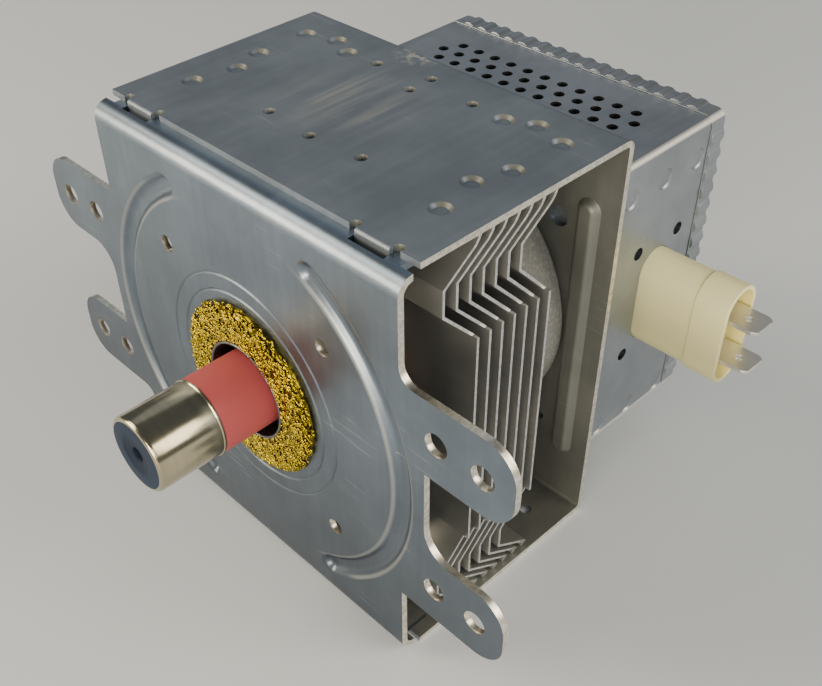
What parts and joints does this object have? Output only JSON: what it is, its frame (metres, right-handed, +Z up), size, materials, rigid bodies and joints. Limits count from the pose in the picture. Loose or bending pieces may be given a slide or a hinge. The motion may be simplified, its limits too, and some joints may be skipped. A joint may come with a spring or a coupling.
{
  "type": "magnetron",
  "caption": "Cooker magnetron: steel yoke with eared mounting plate, antenna with mesh gasket, zigzag cooling fins, and a perforated filter box with a plug connector.",
  "frame": {"origin": "on the antenna's axis at the front face of the mounting plate", "axes": "+X to the right as seen from the antenna's side, +Y to the rear along the tube's axis, +Z up"},
  "size_m": [0.12, 0.1131, 0.085],
  "materials": {
    "plate_steel": "zinc-plated sheet steel, satin",
    "bracket_steel": "zinc-plated sheet steel, satin with scuffs",
    "box_steel": "plated sheet steel, satin",
    "ferrite": "grey sintered ferrite, matt and granular",
    "copper": "oxygen-free copper",
    "soft_iron": "bare iron, satin",
    "alumina": "pink alumina, unglazed",
    "nickel": "nickel-plated, warm mirror",
    "brass_mesh": "knitted brass wire",
    "fin_aluminium": "bright rolled aluminium",
    "ivory_plastic": "cream moulded plastic",
    "tinned_blade": "tinned brass blade",
    "cathode_metal": "molybdenum and tungsten",
    "choke_wire": "enamelled copper wire",
    "choke_ferrite": "black ferrite rod",
    "resin": "moulded resin"
  },
  "bodies": {
    "root": {"front_plate": "plate_steel", "yoke_bracket": "bracket_steel", "filter_box": "box_steel", "filter_cover": "box_steel", "earth_plate": "box_steel", "front_magnet": "ferrite", "rear_magnet": "ferrite", "anode_cylinder": "copper", "anode_vanes": "copper", "strap_rings": "copper", "exhaust_tube": "copper", "antenna_lead": "copper", "front_pole_piece": "soft_iron", "rear_pole_piece": "soft_iron", "front_seal_cup": "soft_iron", "rear_seal_cup": "soft_iron", "gasket_collar": "soft_iron", "antenna_ceramic": "alumina", "stem_ceramic": "alumina", "antenna_cap": "nickel", "rf_gasket": "brass_mesh", "cooling_fin_1": "fin_aluminium", "cooling_fin_2": "fin_aluminium", "cooling_fin_3": "fin_aluminium", "cooling_fin_4": "fin_aluminium", "cooling_fin_5": "fin_aluminium", "cooling_fin_6": "fin_aluminium", "cooling_fin_7": "fin_aluminium", "connector_shroud": "ivory_plastic", "terminal_upper": "tinned_blade", "terminal_lower": "tinned_blade", "cathode_filament": "cathode_metal", "front_end_hat": "cathode_metal", "rear_end_hat": "cathode_metal", "centre_lead": "cathode_metal", "side_lead": "cathode_metal", "choke_coil_1": "choke_wire", "choke_coil_2": "choke_wire", "choke_core_1": "choke_ferrite", "choke_core_2": "choke_ferrite", "capacitor_case": "resin"}
  },
  "joints": []
}
